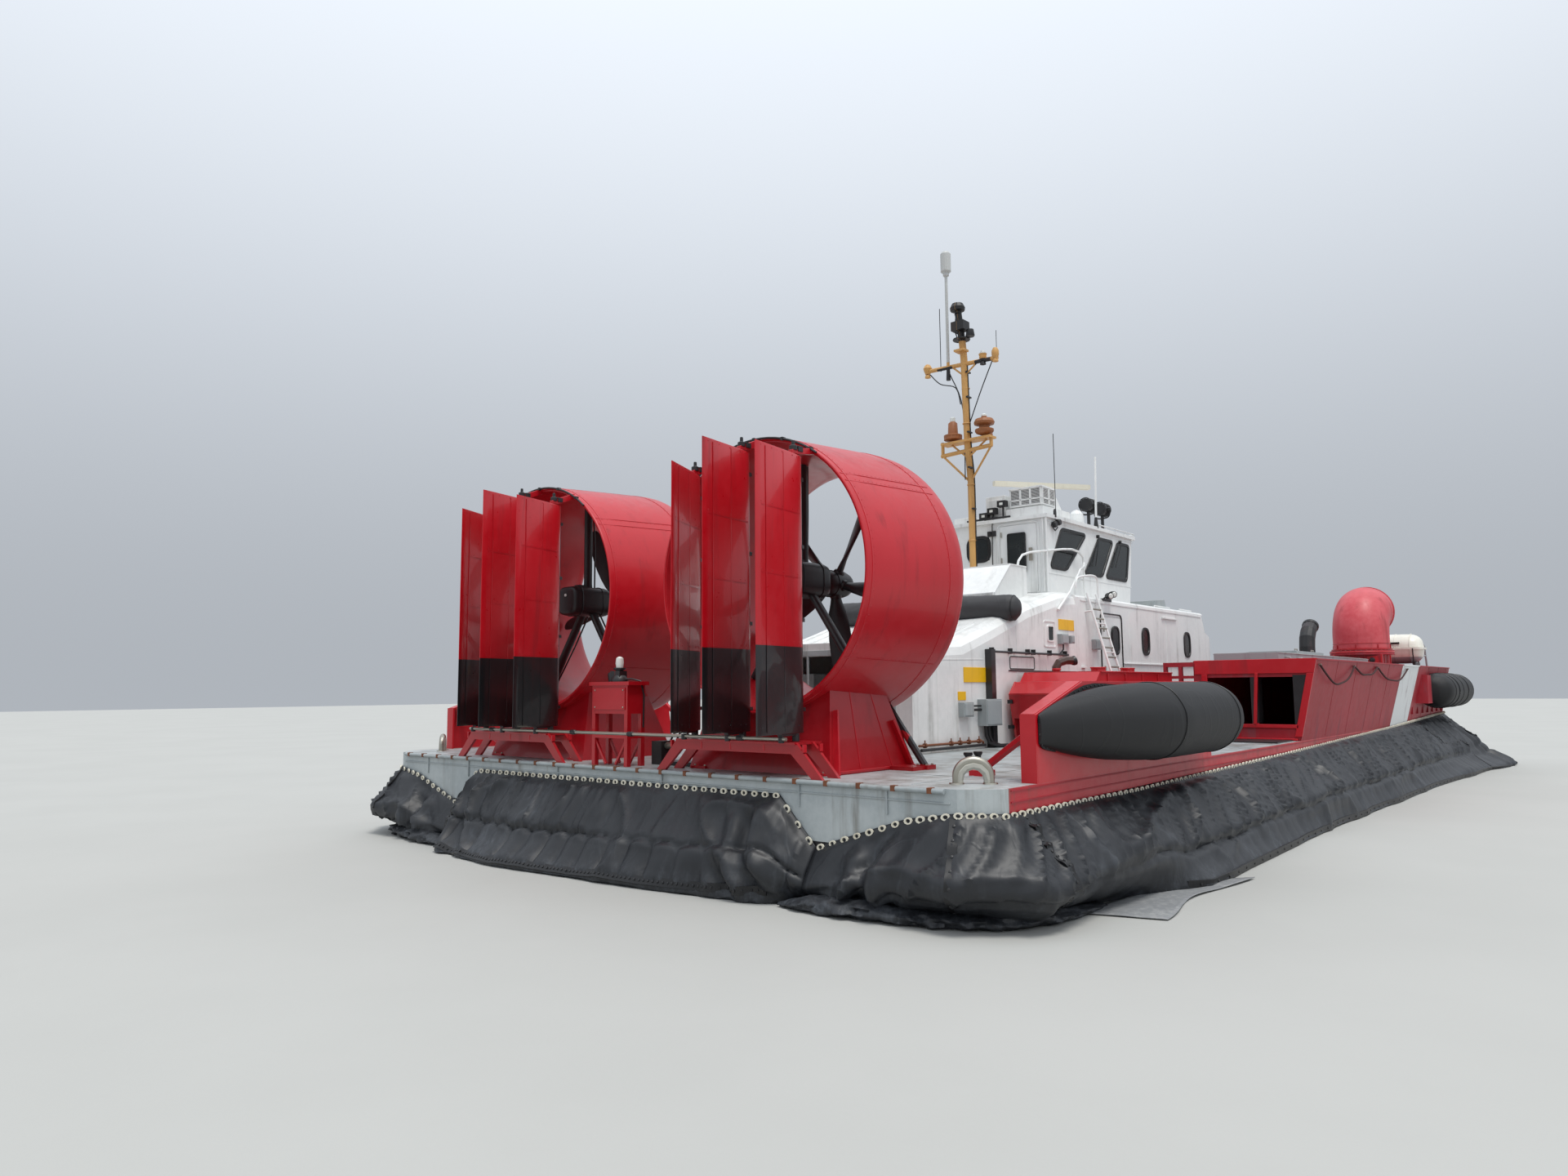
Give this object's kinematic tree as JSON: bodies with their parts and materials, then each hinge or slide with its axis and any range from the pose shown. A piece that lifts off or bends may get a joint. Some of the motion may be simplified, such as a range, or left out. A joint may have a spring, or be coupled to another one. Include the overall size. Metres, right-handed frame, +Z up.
{
  "type": "hovercraft",
  "caption": "Utility hovercraft parked with its skirts down: flat raft, side bodies, cabin with wheelhouse, ducted propellers with rudders, bow thrusters, fenders, mast and bow ramp.",
  "frame": {"origin": "on the ground under the middle of the craft", "axes": "+X towards the bow, +Y to port, +Z up"},
  "size_m": [28.5008, 13.6194, 10.89],
  "materials": {
    "red_paint": "red gloss paint, weathered",
    "white_paint": "white paint with grey streaks",
    "hull_paint": "grey paint, scuffed",
    "skirt_rubber": "coated rubber cloth, scuffed",
    "black_paint": "black paint",
    "window_glass": "tinted window glass",
    "bare_steel": "dull bare steel",
    "mast_paint": "ochre paint, weathered"
  },
  "bodies": {
    "hull": {"raft": "hull_paint", "landing_skid_starboard": "hull_paint", "landing_skid_port": "hull_paint", "propulsion_engine_starboard": "hull_paint", "propulsion_engine_port": "hull_paint", "lift_engine_starboard": "hull_paint", "lift_engine_port": "hull_paint", "skirt_side_starboard": "skirt_rubber", "skirt_side_port": "skirt_rubber", "skirt_stern": "skirt_rubber", "skirt_bow": "skirt_rubber", "fender_starboard": "skirt_rubber", "fender_port": "skirt_rubber", "bow_fender_starboard": "skirt_rubber", "bow_fender_port": "skirt_rubber", "side_body_starboard": "red_paint", "side_body_port": "red_paint", "fender_frame_starboard": "red_paint", "fender_frame_port": "red_paint", "duct_starboard": "red_paint", "duct_port": "red_paint", "duct_pedestal_starboard": "red_paint", "duct_pedestal_port": "red_paint", "stern_stand": "red_paint", "lift_engine_cover_starboard": "red_paint", "lift_engine_cover_port": "red_paint", "life_raft_starboard": "white_paint", "life_raft_port": "white_paint", "engine_casing": "white_paint", "cabin_wall_starboard": "white_paint", "cabin_wall_port": "white_paint", "cabin_bulkhead": "white_paint", "cabin_front": "white_paint", "cabin_roof": "white_paint", "wheelhouse_walls": "white_paint", "wheelhouse_roof": "white_paint", "wheelhouse_glazing": "window_glass", "propeller_gearbox_starboard": "black_paint", "propeller_gearbox_port": "black_paint", "mast": "mast_paint"},
    "propeller_starboard": {"propeller_starboard": "black_paint"},
    "propeller_port": {"propeller_port": "black_paint"},
    "rudder_starboard_middle": {"rudder_starboard_middle": "red_paint"},
    "rudder_starboard_outer": {"rudder_starboard_outer": "red_paint"},
    "rudder_starboard_inner": {"rudder_starboard_inner": "red_paint"},
    "rudder_port_inner": {"rudder_port_inner": "red_paint"},
    "rudder_port_middle": {"rudder_port_middle": "red_paint"},
    "rudder_port_outer": {"rudder_port_outer": "red_paint"},
    "tie_rod": {"rudder_tie_rod": "bare_steel"},
    "cabin_door_starboard": {"cabin_door_starboard": "white_paint"},
    "cabin_door_port": {"cabin_door_port": "white_paint"},
    "wheelhouse_door": {"wheelhouse_door": "white_paint"},
    "hatch_starboard": {"hatch_starboard": "hull_paint"},
    "hatch_port": {"hatch_port": "hull_paint"},
    "thruster_nozzle_starboard": {"thruster_nozzle_starboard": "red_paint"},
    "thruster_nozzle_port": {"thruster_nozzle_port": "red_paint"},
    "radar_scanner": {"radar_scanner": "white_paint"},
    "searchlight_aft": {"searchlight_aft": "black_paint"},
    "searchlight_forward": {"searchlight_forward": "black_paint"},
    "bow_ramp": {"bow_ramp": "red_paint"}
  },
  "joints": [
    {"name": "propeller_starboard_spin", "type": "hinge", "parent": "hull", "child": "propeller_starboard", "pos_m": [-11.53, -2.1, 3.47], "axis": [1, 0, 0], "continuous": true},
    {"name": "propeller_port_spin", "type": "hinge", "parent": "hull", "child": "propeller_port", "pos_m": [-11.53, 2.1, 3.47], "axis": [1, 0, 0], "continuous": true},
    {"name": "rudder_starboard_middle_turn", "type": "hinge", "parent": "hull", "child": "rudder_starboard_middle", "pos_m": [-13.28, -2.15, 2], "axis": [0, 0, 1], "range_deg": [-40, 10]},
    {"name": "rudder_starboard_outer_turn", "type": "hinge", "parent": "hull", "child": "rudder_starboard_outer", "pos_m": [-13.28, -2.925, 2], "axis": [0, 0, 1], "range_deg": [-40, 10]},
    {"name": "rudder_starboard_inner_turn", "type": "hinge", "parent": "hull", "child": "rudder_starboard_inner", "pos_m": [-13.28, -1.39, 2], "axis": [0, 0, 1], "range_deg": [-40, 10]},
    {"name": "rudder_port_inner_turn", "type": "hinge", "parent": "hull", "child": "rudder_port_inner", "pos_m": [-13.28, 1.39, 2], "axis": [0, 0, 1], "range_deg": [-40, 10]},
    {"name": "rudder_port_middle_turn", "type": "hinge", "parent": "hull", "child": "rudder_port_middle", "pos_m": [-13.28, 2.15, 2], "axis": [0, 0, 1], "range_deg": [-40, 10]},
    {"name": "rudder_port_outer_turn", "type": "hinge", "parent": "hull", "child": "rudder_port_outer", "pos_m": [-13.28, 2.925, 2], "axis": [0, 0, 1], "range_deg": [-40, 10]},
    {"name": "tie_rod_slide", "type": "slide", "parent": "hull", "child": "tie_rod", "axis": [0, 1, 0], "range_m": [-0.053, 0.21]},
    {"name": "cabin_door_starboard_hinge", "type": "hinge", "parent": "hull", "child": "cabin_door_starboard", "pos_m": [-3.03, -1.9, 1.5], "axis": [0, 0, -1], "range_deg": [0, 95]},
    {"name": "cabin_door_port_hinge", "type": "hinge", "parent": "hull", "child": "cabin_door_port", "pos_m": [-3.03, 1.9, 1.5], "axis": [0, 0, 1], "range_deg": [0, 95]},
    {"name": "wheelhouse_door_hinge", "type": "hinge", "parent": "hull", "child": "wheelhouse_door", "pos_m": [-4.09, -0.38, 3.95], "axis": [0, 0, -1], "range_deg": [0, 95]},
    {"name": "hatch_starboard_hinge", "type": "hinge", "parent": "hull", "child": "hatch_starboard", "pos_m": [0.17, -3.85, 2.736], "axis": [-1, 0, 0], "range_deg": [0, 85]},
    {"name": "hatch_port_hinge", "type": "hinge", "parent": "hull", "child": "hatch_port", "pos_m": [0.17, 3.85, 2.736], "axis": [1, 0, 0], "range_deg": [0, 85]},
    {"name": "thruster_starboard_swivel", "type": "hinge", "parent": "hull", "child": "thruster_nozzle_starboard", "pos_m": [5.97, -4.5, 2.975], "axis": [0, 0, 1], "continuous": true},
    {"name": "thruster_port_swivel", "type": "hinge", "parent": "hull", "child": "thruster_nozzle_port", "pos_m": [5.97, 4.5, 2.975], "axis": [0, 0, 1], "continuous": true},
    {"name": "radar_spin", "type": "hinge", "parent": "hull", "child": "radar_scanner", "pos_m": [-1.46, 0, 6.436], "axis": [0, 0, 1], "continuous": true},
    {"name": "searchlight_aft_swivel", "type": "hinge", "parent": "hull", "child": "searchlight_aft", "pos_m": [-1.38, -1, 5.426], "axis": [0, 0, 1], "range_deg": [-150, 150]},
    {"name": "searchlight_forward_swivel", "type": "hinge", "parent": "hull", "child": "searchlight_forward", "pos_m": [-0.68, -1, 5.426], "axis": [0, 0, 1], "range_deg": [-150, 150]},
    {"name": "bow_ramp_hinge", "type": "hinge", "parent": "hull", "child": "bow_ramp", "pos_m": [12.38, 0, 1.32], "axis": [0, 1, 0], "range_deg": [0, 75]}
  ],
  "couplings": [
    {"joint": "rudder_starboard_outer_turn", "follows": "rudder_starboard_middle_turn", "ratio": 1},
    {"joint": "rudder_starboard_inner_turn", "follows": "rudder_starboard_middle_turn", "ratio": 1},
    {"joint": "rudder_port_inner_turn", "follows": "rudder_starboard_middle_turn", "ratio": 1},
    {"joint": "rudder_port_middle_turn", "follows": "rudder_starboard_middle_turn", "ratio": 1},
    {"joint": "rudder_port_outer_turn", "follows": "rudder_starboard_middle_turn", "ratio": 1},
    {"joint": "tie_rod_slide", "follows": "rudder_starboard_middle_turn", "m_per_rad": -0.3}
  ]
}
